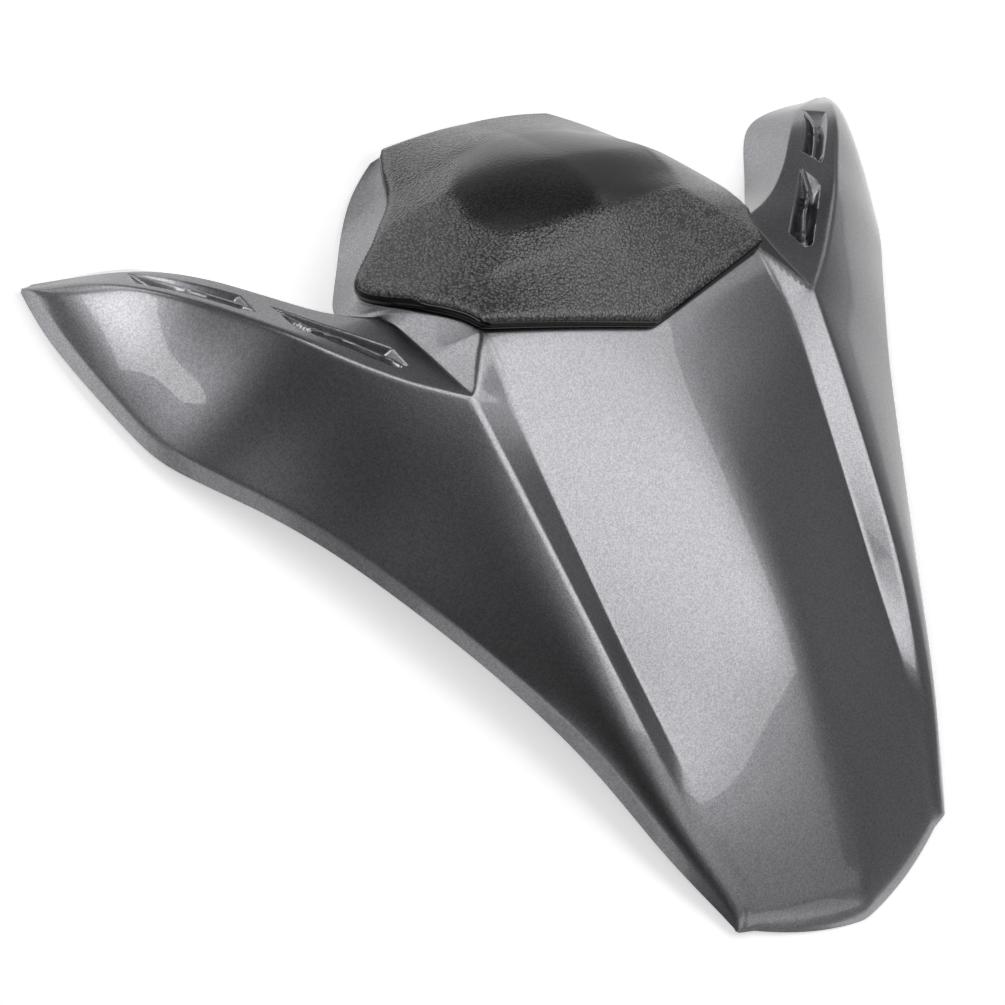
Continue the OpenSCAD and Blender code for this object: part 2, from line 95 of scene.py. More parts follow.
# Lengths and areas below these count as none
TINY = 1e-6
SAME = 1e-7
SHORTEST_REACH = 1e-4
TINY_AREA = 1e-9
# The edges of the right half as points (x, y, z), one at each station from the tail to the front
edge = {
    "ridge": [(0, -18.3, 0), (0, -10.5, 7), (0, 30, 20.8), (0, 82, 36.3), (0, 135, 43.4), (0, 176, 46.3),
              (0, 195.4, 48), (0, 232, 49.6)],
    "crease": [(47, -2.5, 2.4), (43.5, 4.4, 7.3), (53.2, 45, 18), (59.8, 93, 25.8), (65.1, 150, 36.9),
               (67.4, 187, 44), (66.8, 213.5, 46), (79, 231, 35)],
    "shoulder": [(52.5, -0.8, 2.7), (48.4, 6.4, 7.1), (58.9, 40, 16.2), (68.5, 87.6, 29),
                 (76.8, 146.5, 39.5), (82.5, 193.1, 46.1), (99.2, 205.1, 43), (116.2, 220, 40.3)],
    "rim": [(54.2, 0.2, 2.9), (57.4, 7, 4.2), (69.6, 33, 8), (86, 75, 13.4), (106, 115.5, 15.2),
            (130.4, 157.9, 13.8), (147.5, 182.7, 11.4), (163, 202, 7.2)],
    "valley": [(81.6, 192.9, 46.0), (83.5, 213, 37.4), (86.6, 233.5, 29.2)],
    "hump_ridge": [(0, 232, 49.6), (0, 248, 46.5), (0, 264, 39), (0, 280, 27), (0, 294, 13.2),
                   (0, 304.5, 2.6)],
    "hump_crease": [(79, 231, 35), (87.5, 246.5, 19.5), (71, 262, 19.5), (56.5, 275, 17), (47, 290, 10),
                    (38, 303, 2.9)],
    "hump_rim": [(86.6, 233.5, 29.2), (88.5, 247.5, 5), (78, 264, 2.6), (67, 280, 2.6), (56, 292, 2.6),
                 (43, 301.5, 2.6)],
    "wing_ridge": [(116.2, 220, 40.3), (128, 232, 38.8), (141, 245, 34.8), (157, 260, 29.2),
                   (172.5, 273.8, 19.5), (188.6, 285.2, 2.8)],
    "wing_inner": [(86.6, 233.5, 29.2), (104, 239.5, 28), (121, 251, 26.6), (140, 266.5, 21.6),
                   (158.5, 278, 13.6), (186.2, 286.2, 2.6)],
    "wing_foot": [(86.6, 233.5, 29.2), (111, 248, 9), (124.5, 258.6, 1), (139.5, 280, 0.6),
                  (159, 285.6, 0.6), (185.6, 286.4, 0.4)],
    "wing_rim": [(163, 202, 7.2), (170.5, 211.3, 5.6), (175, 219, 4), (184.5, 246, 3.8),
                 (189.6, 268, 2.2), (189.8, 285.4, 0)],
}
edge = {name: np.array(points, float) for name, points in edge.items()}


def along_curve(points, t, corner=None):
    """A smooth curve through the points; t counts them from 0. It turns sharply at a corner."""
    first, last = 0, len(points) - 1
    if corner is not None:
        first, last = (first, corner) if t <= corner else (corner, last)
    i = min(int(t), last - 1)
    f = t - i
    a, b, c, d = (points[max(i - 1, first)], points[i], points[i + 1], points[min(i + 2, last)])
    return b + 0.5 * f * ((c - a) + f * ((2 * a - 5 * b + 4 * c - d) + f * (3 * b - a - 3 * c + d)))


def between(a, b, f):
    return a + (b - a) * f


# The shoulder turns out into the wing at this station, and the valley between hump and wing starts
# beside it. Before that the valley's column lies on the strip, at this share of the way from crease to
# shoulder.
CORNER = 5
VALLEY_SHARE = 0.72
VALLEY_RUN_OUT = 0.22


def shoulder_at(t):
    return along_curve(edge["shoulder"], t, CORNER)


def valley_at(t):
    if t <= CORNER:
        share = VALLEY_SHARE + VALLEY_RUN_OUT * max(0, t - CORNER + 1)
        return between(along_curve(edge["crease"], t), shoulder_at(t), share)
    return along_curve(edge["valley"], t - CORNER)


def fold_at(t, share):
    """Lifts the surface to a straight ridge from the shoulder's corner up to the pad's corner."""
    f = t - CORNER
    if not 0 < f < 1:
        return np.zeros(3)
    near, far = along_curve(edge["crease"], CORNER), along_curve(edge["crease"], CORNER + 1)
    twist = near + valley_at(CORNER + 1) - far - valley_at(CORNER)
    return -twist * min(f * share, (1 - f) * (1 - share))


def crown(t):
    return CROWN + CROWN_RISE * math.sin(math.pi * (t - CROWN_START) / (FRONT - CROWN_START))


def lip_crest(high, low):
    run = high - low
    length = np.linalg.norm(run)
    width = min(LIP, LIP_MOST * length)
    turn = np.array([LIP_TURN * min(1, width / LIP), 0, 0])
    return low + run / max(length, TINY) * width + turn


# Rows of mesh between the stations, and columns in each span of the section
STATION_ROWS = [8, 20, 22, 22, 18, 12, 14, 11, 9, 9, 9, 9]
SPAN_COLUMNS = {"top": 34, "strip": 12, "wall": 8, "wing": 16, "flank": 26, "lip": 8}
EVEN_SHARE = 0.2


def shares_of(count, both_ends=True):
    """Shares from 0 to 1 that crowd towards the end, or towards both ends, where the edges are."""
    f = np.arange(count + 1) / count
    crowded = 0.5 - 0.5 * np.cos(math.pi * f) if both_ends else np.sin(math.pi / 2 * f)
    return EVEN_SHARE * f + (1 - EVEN_SHARE) * crowded


def row_stations():
    stops = [0.0]
    for station, count in enumerate(STATION_ROWS):
        steps = shares_of(count) if station == CORNER else np.arange(count + 1) / count
        stops += [station + f for f in steps[1:]]
    return stops


def spread(a, b, count, bow=(0, 0, 0), both_ends=True):
    """Points from a to b, bowed out in the middle; the first is left out."""
    bow = np.array(bow, float)
    return [between(a, b, f) + bow * 4 * f * (1 - f) for f in shares_of(count, both_ends)[1:]]


def section_at(t):
    """The right half of one section of the outer face, from the middle to the rim."""
    if t <= GAP_ROOT:
        middle, crease = along_curve(edge["ridge"], t), along_curve(edge["crease"], t)
        inner_edge, foot = valley_at(t), valley_at(t)
        hump_foot = inner_edge
        ridge, low = shoulder_at(t), along_curve(edge["rim"], t)
        rise = crown(t)
        if t < CROWN_START:
            rise = min(PANEL_BOW + (CROWN - PANEL_BOW) * max(0, t - CORNER), t)
        bow = (0, -TAIL_BOW * max(0, 1 - t), rise)
        flank_bow = np.array((FLANK_BOW, 0, FLANK_BOW)) * min(1, t / FLANK_BOW_RUN)
    else:
        u = t - GAP_ROOT
        middle, crease = along_curve(edge["hump_ridge"], u), along_curve(edge["hump_crease"], u)
        hump_foot = along_curve(edge["hump_rim"], u)
        inner_edge, foot = along_curve(edge["wing_inner"], u), along_curve(edge["wing_foot"], u)
        ridge, low = along_curve(edge["wing_ridge"], u), along_curve(edge["wing_rim"], u)
        bow = (0, 0, crown(t))
        flank_bow = (FLANK_BOW, 0, FLANK_BOW)
    crest = lip_crest(ridge, low)
    strip = [p + fold_at(t, share)
             for p, share in zip(spread(crease, hump_foot, SPAN_COLUMNS["strip"]),
                                 shares_of(SPAN_COLUMNS["strip"])[1:])]
    return ([middle] + spread(middle, crease, SPAN_COLUMNS["top"], bow, both_ends=False)
            + strip
            + [foot] + spread(foot, inner_edge, SPAN_COLUMNS["wall"])
            + spread(inner_edge, ridge, SPAN_COLUMNS["wing"])
            + spread(ridge, crest, SPAN_COLUMNS["flank"], flank_bow)
            + spread(crest, low, SPAN_COLUMNS["lip"]))


stations = row_stations()
face = np.array([section_at(t) for t in stations])
CREASE = SPAN_COLUMNS["top"]
HUMP_EDGE = CREASE + SPAN_COLUMNS["strip"]
FOOT = HUMP_EDGE + 1
INNER = FOOT + SPAN_COLUMNS["wall"]
RIDGE = INNER + SPAN_COLUMNS["wing"]
CREST = RIDGE + SPAN_COLUMNS["flank"]
LAST = CREST + SPAN_COLUMNS["lip"]
ROOT_ROW = sum(STATION_ROWS[:GAP_ROOT])
LAST_ROW = sum(STATION_ROWS)


def softened(path, reach):
    """A path with each point moved to the mean of what lies within its reach, so corners turn round."""
    steps = np.linalg.norm(np.diff(path, axis=0), axis=1)
    keep = np.concatenate([[True], steps > SAME])
    s = np.concatenate([[0], np.cumsum(steps)])
    s_kept, p_kept = s[keep], path[keep]
    area = np.concatenate([[np.zeros(3)], np.cumsum(0.5 * (p_kept[1:] + p_kept[:-1])
                                                   * np.diff(s_kept)[:, None], axis=0)])
    reach = np.minimum(np.minimum(reach, s), s[-1] - s)

    def total(where):
        k = np.clip(np.searchsorted(s_kept, where) - 1, 0, len(s_kept) - 2)
        part = (where - s_kept[k])[:, None]
        slope = (p_kept[k + 1] - p_kept[k]) / (s_kept[k + 1] - s_kept[k])[:, None]
        return area[k] + p_kept[k] * part + 0.5 * slope * part ** 2

    wide = reach > SHORTEST_REACH
    result = path.copy()
    result[wide] = ((total(s[wide] + reach[wide]) - total(s[wide] - reach[wide]))
                    / (2 * reach[wide])[:, None])
    return result


def reach_near(s, corners):
    """How far to soften at each place along a path: fully at each corner, not beyond twice its reach."""
    reach = np.zeros(len(s))
    for place, size in corners:
        reach = np.maximum(reach, size * np.clip(2 - np.abs(s - place) / max(size, TINY), 0, 1))
    return reach


def lengths(path):
    return np.concatenate([[0], np.cumsum(np.linalg.norm(np.diff(path, axis=0), axis=1))])


# How far each edge is rounded to either side, across the section; all but the valley less at the tail
CREASE_SOFT = 1.3
SHOULDER_SOFT = 1.8
VALLEY_SOFT = 0.8
LIP_SOFT = 1.0
MIDDLE_SOFT, TAIL_MIDDLE_SOFT = 14.0, 3.0
MIDDLE_SOFT_FROM = 1.2
TAIL_CRISP, TAIL_CRISP_RUN = 0.3, 2
mirrored = np.array([-1.0, 1.0, 1.0])


def soften_rows(face):
    for i in range(LAST_ROW + 1):
        t = stations[i]
        near_tail = min(1, TAIL_CRISP + t / TAIL_CRISP_RUN)
        middle_size = MIDDLE_SOFT if t > MIDDLE_SOFT_FROM else TAIL_MIDDLE_SOFT
        sizes = ((CREASE, CREASE_SOFT * near_tail), (INNER, VALLEY_SOFT),
                 (RIDGE, SHOULDER_SOFT * near_tail), (CREST, LIP_SOFT * near_tail))
        pieces = [(0, LAST)] if i <= ROOT_ROW else [(0, HUMP_EDGE), (FOOT, LAST)]
        for first, end in pieces:
            path = face[i, first:end + 1]
            s = lengths(path)
            corners = [(s[j - first], size) for j, size in sizes if first < j < end]
            if first == 0:
                both = np.concatenate([path[:0:-1] * mirrored, path])
                s = lengths(both)
                mid = s[len(path) - 1]
                corners = [(mid + place, size) for place, size in corners]
                corners += [(2 * mid - place, size) for place, size in corners] + [(mid, middle_size)]
                face[i, first:end + 1] = softened(both, reach_near(s, corners))[len(path) - 1:]
            else:
                face[i, first:end + 1] = softened(path, reach_near(s, corners))
    return face


TAIL_EDGE_ROW = STATION_ROWS[0]
CORNER_ROW = sum(STATION_ROWS[:CORNER])
PAD_CORNER_ROW = sum(STATION_ROWS[:CORNER + 1])
HUMP_FRONT = 8
HUMP_FRONT_ROW = sum(STATION_ROWS[:HUMP_FRONT])
BESIDE_CREASE = 3
# Reaches along the length, and within how many mm of an edge they grow back to the fair one
FAIR = 9.0
CRISP, CRISP_EASE = 0.8, 16
TAIL_LIP, TAIL_LIP_EASE = 1.6, 30
PAD_LINE, PAD_LINE_EASE = 3.0, 14
HUMP_LINE, HUMP_LINE_EASE = 2.0, 12


def soften_columns(face):
    """Fairs each lengthwise line, with short reaches at the tail's lip and the shoulder's corner."""
    for j in range(LAST + 1):
        start = ROOT_ROW if HUMP_EDGE < j < INNER else 0
        path = face[start:, j]
        s = lengths(path)
        reach = np.full(len(s), FAIR)
        if start == 0:
            tail, corner, pad_corner = s[TAIL_EDGE_ROW], s[CORNER_ROW], s[PAD_CORNER_ROW]
            tight = [(tail, tail, TAIL_LIP, TAIL_LIP_EASE)]
            if CREASE - BESIDE_CREASE < j <= RIDGE:
                tight.append((corner, pad_corner, CRISP, CRISP_EASE))
            elif j > RIDGE:
                tight.append((corner, corner, min(FAIR, CRISP + j - RIDGE), CRISP_EASE))
            else:
                tight.append((pad_corner, pad_corner, PAD_LINE, PAD_LINE_EASE))
            if j <= HUMP_EDGE:
                front = s[HUMP_FRONT_ROW]
                tight.append((front, front, HUMP_LINE, HUMP_LINE_EASE))
            for first, last, size, ease in tight:
                beyond = np.maximum(np.maximum(first - s, s - last), 0)
                reach = np.minimum(reach, size + (FAIR - size) * np.clip(beyond / ease, 0, 1))
        face[start:, j] = softened(path, reach)
    return face


face = soften_columns(soften_rows(face))
# The gap's root keeps its collapsed columns together
face[:ROOT_ROW + 1, HUMP_EDGE + 1:INNER + 1] = face[:ROOT_ROW + 1, HUMP_EDGE][:, None]


def wall_directions(face):
    """Outward directions at each grid point, each side of the gap by itself."""
    across, length = np.zeros_like(face), np.zeros_like(face)
    for i in range(LAST_ROW + 1):
        for first, end in ([(0, LAST)] if i <= ROOT_ROW else [(0, HUMP_EDGE), (FOOT, LAST)]):
            columns = [j for j in range(first, end + 1) if i > ROOT_ROW or not HUMP_EDGE < j <= INNER]
            for k, j in enumerate(columns):
                at_middle = face[i, 1] * mirrored if j == 0 else face[i, j]
                low = face[i, columns[k - 1]] if k else at_middle
                high = face[i, columns[min(k + 1, len(columns) - 1)]]
                across[i, j] = high - low
    for j in range(LAST + 1):
        start = ROOT_ROW if HUMP_EDGE < j <= INNER else 0
        for i in range(start, LAST_ROW + 1):
            stop = i if (i == ROOT_ROW and HUMP_EDGE <= j <= INNER) else min(i + 1, LAST_ROW)
            length[i, j] = face[stop, j] - face[max(i - 1, start), j]
    length[:ROOT_ROW + 1, HUMP_EDGE + 1:INNER + 1] = length[:ROOT_ROW + 1, HUMP_EDGE][:, None]
    across[:ROOT_ROW + 1, HUMP_EDGE + 1:INNER + 1] = across[:ROOT_ROW + 1, HUMP_EDGE][:, None]
    out = np.cross(across, length)
    return out / np.maximum(np.linalg.norm(out, axis=2, keepdims=True), TINY_AREA)


# The wall thins towards the wing tips and the tail, in shares of its full thickness and per station
TIP_WALL, TIP_GROWTH = 0.18, 0.5
TAIL_WALL, SIDE_GROWTH = 0.3, 0.45
outward = wall_directions(face)
from_tip = (FRONT - np.array(stations))[:, None]
from_tail = np.array(stations)[:, None]
is_wing = np.arange(LAST + 1)[None, :] > HUMP_EDGE
is_side = np.arange(LAST + 1)[None, :] >= CREASE
wall = (WALL * np.where(is_wing, np.minimum(1, TIP_WALL + TIP_GROWTH * from_tip), 1)
        * np.minimum(1, TAIL_WALL + from_tail * np.where(is_side, SIDE_GROWTH, 1)))
lining = face - outward * wall[:, :, None]
lining[:, :, 2] = np.maximum(lining[:, :, 2], 0)
lining[:, 0, 0] = 0


def moulding_mesh():
    width = LAST + 1
    layers = [face, lining]
    half = (LAST_ROW + 1) * width
    points = np.concatenate([(layer * flip).reshape(-1, 3) for layer in layers
                             for flip in (np.ones(3), mirrored)])

    def place(layer, side, i, j):
        column = HUMP_EDGE if i <= ROOT_ROW and HUMP_EDGE < j <= INNER else j
        return 2 * half * layer + (0 if column == 0 else side * half) + i * width + column

    faces = []

    def add_face(corners, turned):
        loop = [c for k, c in enumerate(corners) if c not in corners[:k]]
        if len(loop) > 2:
            faces.append(loop[::-1] if turned else loop)

    for layer in (0, 1):
        for side in (0, 1):
            for i in range(LAST_ROW):
                for j in range(LAST):
                    if (i < ROOT_ROW and HUMP_EDGE <= j < INNER) or (i >= ROOT_ROW and j == HUMP_EDGE):
                        continue
                    a, b, c, d = (place(layer, side, i, j), place(layer, side, i, j + 1),
                                  place(layer, side, i + 1, j + 1), place(layer, side, i + 1, j))
                    turned = (layer + side) % 2 == 1
                    across_fold = i - CORNER_ROW + j - CREASE == SPAN_COLUMNS["strip"] - 1
                    if CORNER_ROW <= i < PAD_CORNER_ROW and across_fold:
                        add_face([a, b, d], turned)
                        add_face([b, c, d], turned)
                    else:
                        add_face([a, b, c, d], turned)
    edges = ([((0, j), (0, j + 1)) for j in range(LAST)]
             + [((i, LAST), (i + 1, LAST)) for i in range(LAST_ROW)]
             + [((LAST_ROW, j), (LAST_ROW, j - 1)) for j in range(LAST, FOOT, -1)]
             + [((i, FOOT), (i - 1, FOOT)) for i in range(LAST_ROW, ROOT_ROW, -1)]
             + [((i, HUMP_EDGE), (i + 1, HUMP_EDGE)) for i in range(ROOT_ROW, LAST_ROW)]
             + [((LAST_ROW, j), (LAST_ROW, j - 1)) for j in range(HUMP_EDGE, 0, -1)])
    for side in (0, 1):
        for a, b in edges:
            add_face([place(0, side, *b), place(0, side, *a), place(1, side, *a), place(1, side, *b)],
                     side == 1)
    used = sorted({v for loop in faces for v in loop})
    renumbered = {old: new for new, old in enumerate(used)}
    mesh = bpy.data.meshes.new("cowl_moulding")
    mesh.from_pydata([point(*points[v]) for v in used], [],
                     [[renumbered[v] for v in loop] for loop in faces])
    outer_count = sum(1 for v in used if v < 2 * half)
    return mesh, outer_count


shell_mesh, outer_count = moulding_mesh()

# Vents in the wing tops: each recess is an outline on the wing's top, as (station, share of the way from
# the inner edge to the ridge), with a steepness for each of its walls, and a blade that runs through it.
VENT_DEPTH = 5.0
VENTS = [
    {"outline": [(8.90, 0.34), (8.36, 0.68), (8.14, 0.76), (6.31, 0.77), (6.22, 0.73), (6.16, 0.58),
                 (6.49, 0.41)],
     "steep": [0.62, 0.62, 3.2, 3.0, 1.6, 1.1, 1.7],
     "blade": [(8.92, 0.36), (7.99, 0.605), (7.15, 0.665), (6.38, 0.625), (6.1, 0.66)]},
    {"outline": [(10.98, 0.15), (10.93, 0.30), (10.69, 0.80), (9.14, 0.77), (8.91, 0.72), (9.02, 0.62),
                 (9.35, 0.29)],
     "steep": [0.8, 0.5, 1.2, 3.0, 2.0, 1.1, 1.7],
     "blade": [(10.96, 0.2), (10.11, 0.53), (9.66, 0.56), (9.17, 0.56), (8.9, 0.66)]},
]
BLADE_HALF = 0.55
BLADE_DROP = 0.5
BLADE_STEEP = 3.6
FLOOR_ROUND, BLADE_ROUND, EDGE_ROUND = 0.8, 0.4, 0.35


def wing_top(t, f):
    if t <= GAP_ROOT:
        return between(valley_at(t), shoulder_at(t), f)
    u = t - GAP_ROOT
    return between(along_curve(edge["wing_inner"], u), along_curve(edge["wing_ridge"], u), f)


def distance_to(places, a, b):
    run = b - a
    f = np.clip(((places - a) @ run) / (run @ run), 0, 1)
    return np.linalg.norm(places - a - f[:, None] * run, axis=1)


def inside(places, ring):
    hit = np.zeros(len(places), bool)
    for a, b in zip(ring, np.roll(ring, -1, axis=0)):
        crosses = (a[1] > places[:, 1]) != (b[1] > places[:, 1])
        with np.errstate(divide="ignore", invalid="ignore"):
            at = a[0] + (places[:, 1] - a[1]) * (b[0] - a[0]) / (b[1] - a[1])
        hit ^= crosses & (places[:, 0] < at)
    return hit


def smooth_min(a, b, width):
    h = np.clip(0.5 + 0.5 * (b - a) / width, 0, 1)
    return b + (a - b) * h - width * h * (1 - h)


def vent_ring(vent):
    return np.array([wing_top(t, f)[:2] for t, f in vent["outline"]])


def vent_depth(places, vent):
    """How deep the recess is below the wing's top at each place (x, y)."""
    ring = vent_ring(vent)
    reach = [distance_to(places, a, b) for a, b in zip(ring, np.roll(ring, -1, axis=0))]
    raw = np.min([d * k for d, k in zip(reach, vent["steep"])], axis=0)
    blade = np.array([wing_top(t, f)[:2] for t, f in vent["blade"]])
    from_blade = np.min([distance_to(places, a, b) for a, b in zip(blade[:-1], blade[1:])], axis=0)
    raw = smooth_min(raw, np.full(len(raw), VENT_DEPTH), FLOOR_ROUND)
    raw = smooth_min(raw, BLADE_DROP + BLADE_STEEP * np.maximum(from_blade - BLADE_HALF, 0), BLADE_ROUND)
    raw = np.maximum(raw, 0)
    return np.where(inside(places, ring), raw ** 2 / (raw + EDGE_ROUND), 0)


def edge_distance(places, vent):
    """Distance to the outline, positive inside."""
    ring = vent_ring(vent)
    reach = np.min([distance_to(places, a, b) for a, b in zip(ring, np.roll(ring, -1, axis=0))], axis=0)
    return np.where(inside(places, ring), reach, -reach)


def in_mm(mesh_like):
    """A bmesh's vertices in millimetres from the tail's corners, all put on the right side."""
    places = np.array([v.co for v in mesh_like.verts]) / MM
    places[:, 1] += origin_y
    places[:, 0] = np.abs(places[:, 0])
    return places


# The outer face gets a finer mesh round each vent and is pressed in; the lining gives way below it
FINE_CUTS = 4
FINE_MARGIN = 2.6
WING_FLOOR = 8.0
FACES_UP = 0.3
LINING_MARGIN, LINING_STEEP, LINING_DROP = 3, 1.4, 4
work = bmesh.new()
work.from_mesh(shell_mesh)
layer = work.verts.layers.int.new("side")
work.verts.ensure_lookup_table()
for v in work.verts:
    v[layer] = 1 if v.index < outer_count else 0
for vent in VENTS:
    near = edge_distance(in_mm(work)[:, :2], vent) > -FINE_MARGIN
    work.verts.ensure_lookup_table()
    chosen = {v for v, close in zip(work.verts, near)
              if close and v[layer] == 1 and v.co.z / MM > WING_FLOOR}
    edges = {e for v in chosen for e in v.link_edges if e.other_vert(v) in chosen}
    bmesh.ops.subdivide_edges(work, edges=list(edges), cuts=FINE_CUTS, use_grid_fill=True)
work.normal_update()
places = in_mm(work)
drop = np.zeros(len(places))
work.verts.ensure_lookup_table()
is_outer = np.array([v[layer] == 1 for v in work.verts])
is_wing_top = (places[:, 2] > WING_FLOOR) & np.array([v.normal.z > FACES_UP for v in work.verts])
for vent in VENTS:
    drop += np.where(is_outer & is_wing_top, vent_depth(places[:, :2], vent), 0)
    under = np.clip((edge_distance(places[:, :2], vent) + LINING_MARGIN) * LINING_STEEP, 0, LINING_DROP)
    drop += np.where(~is_outer & (places[:, 2] > WING_FLOOR - LINING_DROP), under, 0)
normals = {v: v.normal.copy() for v in work.verts}
for v, depth in zip(work.verts, drop):
    if depth > 0:
        direction = normals[v] if v[layer] == 1 else -normals[v]
        v.co -= direction * depth * MM
work.to_mesh(shell_mesh)
work.free()
SHELL_SHARP = 62


def smooth_object(name, mesh, sharp_from=None):
    """A smooth-shaded object; edges that turn by more than sharp_from degrees stay sharp."""
    mesh.polygons.foreach_set("use_smooth", [True] * len(mesh.polygons))
    if sharp_from:
        mesh.set_sharp_from_angle(angle=math.radians(sharp_from))
    made = bpy.data.objects.new(name, mesh)
    bpy.context.scene.collection.objects.link(made)
    return made


shell = smooth_object("cowl_moulding", shell_mesh, SHELL_SHARP)


def srgb(code):
    """Linear colour of a hex code such as 8a8b8f."""
    parts = [int(code[k:k + 2], 16) / 255 for k in (0, 2, 4)]
    return tuple(c / 12.92 if c <= 0.04045 else ((c + 0.055) / 1.055) ** 2.4 for c in parts) + (1.0,)


def new_material(name):
    material = bpy.data.materials.new(name)
    material.use_nodes = True
    tree = material.node_tree
    tree.nodes.clear()
    return material, tree


def add(tree, kind, settings=None, **inputs):
    """Adds a node; settings are its properties, inputs its sockets by name, or by number as n0, n1."""
    made = tree.nodes.new(kind)
    for key, value in (settings or {}).items():
        setattr(made, key, value)
    for key, value in inputs.items():
        numbered = key[0] == "n" and key[1:].isdigit()
        socket = made.inputs[int(key[1:]) if numbered else key.replace("_", " ")]
        if isinstance(value, bpy.types.NodeSocket):
            tree.links.new(value, socket)
        else:
            socket.default_value = value
    return made


def two_tones(tree, factor, low, high):
    """A colour that runs from one tone to the other."""
    ramp = add(tree, "ShaderNodeValToRGB", None, Fac=factor)
    ramp.color_ramp.elements[0].color = srgb(low)
    ramp.color_ramp.elements[1].color = srgb(high)
    return ramp.outputs["Color"]


# Metallic silver-grey car paint under clear coat: fine aluminium flake that sparkles, a glossy top
# layer. Real flakes are some hundredths of a millimetre wide; these are drawn coarser so that they show.
FLAKE_MM = 0.4
paint, tree = new_material("metallic_silver_paint")
spot = add(tree, "ShaderNodeTexCoord").outputs["Object"]
flakes = add(tree, "ShaderNodeTexVoronoi", {"feature": "F1"}, Vector=spot, Scale=1 / (FLAKE_MM * MM))
tint = two_tones(tree, flakes.outputs["Color"], "838387", "aaaaae")
bump = add(tree, "ShaderNodeBump", None, Strength=0.12, Distance=0.0002,
           Height=flakes.outputs["Distance"])
body = add(tree, "ShaderNodeBsdfPrincipled", None, Base_Color=tint, Metallic=1.0,
           Roughness=0.3, Normal=bump.outputs["Normal"])
body.inputs["Coat Weight"].default_value = 1.0
body.inputs["Coat Roughness"].default_value = 0.02
body.inputs["Specular Tint"].default_value = srgb("8c8c8c")
add(tree, "ShaderNodeOutputMaterial", None, Surface=body.outputs["BSDF"])
shell_mesh.materials.append(paint)
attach(shell, "root")
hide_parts("cowl_shell")

# Pad base
# The moulded ABS tray that the pad is glued to. Its rounded glossy black edge shows as a bead all round
# the pad, and its studs go down through the hump.
PAD_GAP = 0.3
BASE_THICK = 3.2
PAD_START, PAD_END, PAD_SHARE = 6.04, 11.8, 0.99
BEAD_SIDES = 14
BEAD_HALF, BEAD_INSET, BEAD_PROUD = 1.35, 0.55, 0.1
BEAD_CORNER = 3.0
BEAD_OVERLAP = 6


def hump_at(s, v):
    u = s - GAP_ROOT
    middle = along_curve(edge["ridge"], s) if u <= 0 else along_curve(edge["hump_ridge"], u)
    crease = along_curve(edge["crease"], s) if u <= 0 else along_curve(edge["hump_crease"], u)
    return between(middle, crease, v) + np.array([0, 0, crown(s)]) * 4 * v * (1 - v)


SHARE_STEP, STATION_STEP = 0.02, 0.03


def hump_up(s, v):
    across = hump_at(s, v + SHARE_STEP) - hump_at(s, v - SHARE_STEP)
    along = hump_at(s + STATION_STEP, v) - hump_at(s - STATION_STEP, v)
    out = np.cross(across, along)
    return out / np.linalg.norm(out)


def above_hump(s, v, height):
    """A point over the hump; a negative share is on the left side."""
    p = hump_at(s, abs(v)) + hump_up(s, abs(v)) * height
    return p * mirrored if v < 0 else p


def pad_outline(share, start, end, count=70):
    """Places round the pad's edge as (station, share)."""
    right = [(start, share * k / count) for k in range(count)]
    right += [(start + (end - start) * k / (2 * count), share) for k in range(2 * count)]
    right += [(end, share * (1 - k / count)) for k in range(count)]
    return right + [(end, 0.0)] + [(s, -v) for s, v in right[:0:-1]]


def bead_mesh():
    """An oval bead swept along the edge of the tray."""
    outline = pad_outline(PAD_SHARE, PAD_START, PAD_END)
    middle = PAD_GAP + BASE_THICK / 2
    path = np.array([above_hump(s, v, middle) for s, v in outline])
    ups = np.array([above_hump(s, v, middle + 1) for s, v in outline]) - path
    closed = np.concatenate([path[-BEAD_OVERLAP:], path, path[:BEAD_OVERLAP]])
    path = softened(closed, np.full(len(closed), BEAD_CORNER))[BEAD_OVERLAP:-BEAD_OVERLAP]
    run = np.roll(path, -1, axis=0) - np.roll(path, 1, axis=0)
    out = np.cross(run, ups)
    out /= np.linalg.norm(out, axis=1, keepdims=True)
    rings = []
    for k in range(BEAD_SIDES):
        turn = 2 * math.pi * k / BEAD_SIDES
        rings.append(path + out * (BEAD_HALF * math.cos(turn) - BEAD_INSET)
                     + ups * (BASE_THICK / 2 + BEAD_PROUD) * math.sin(turn))
    points = np.stack(rings, axis=1).reshape(-1, 3)
    faces = []
    for i in range(len(path)):
        here, there = i * BEAD_SIDES, (i + 1) % len(path) * BEAD_SIDES
        faces += [(here + k, there + k, there + (k + 1) % BEAD_SIDES, here + (k + 1) % BEAD_SIDES)
                  for k in range(BEAD_SIDES)]
    mesh = bpy.data.meshes.new("pad_bead")
    mesh.from_pydata([point(*p) for p in points], [], faces)
    return mesh


bead_data = bead_mesh()
bead = smooth_object("pad_bead", bead_data)

# Glossy black moulded ABS: a smooth, faintly wavy face with sharp reflections.
WAVE_MM = 25 / 3
gloss_black, tree = new_material("gloss_black_abs")
spot = add(tree, "ShaderNodeTexCoord").outputs["Object"]
waves = add(tree, "ShaderNodeTexNoise", None, Vector=spot, Scale=1 / (WAVE_MM * MM), Detail=2.0)
ripple = add(tree, "ShaderNodeBump", None, Strength=0.05, Distance=0.0005, Height=waves.outputs["Fac"])
body = add(tree, "ShaderNodeBsdfPrincipled", None, Base_Color=srgb("040405"), Roughness=0.08,
           Normal=ripple.outputs["Normal"])
body.inputs["IOR"].default_value = 1.4
add(tree, "ShaderNodeOutputMaterial", None, Surface=body.outputs["BSDF"])
bead_data.materials.append(gloss_black)
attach(bead, "root")


def dress(names, material):
    """Gives CAD nodes their finish."""
    for name in names:
        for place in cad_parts[name].material_slots:
            place.material = material


dress(["pad_base"], gloss_black)

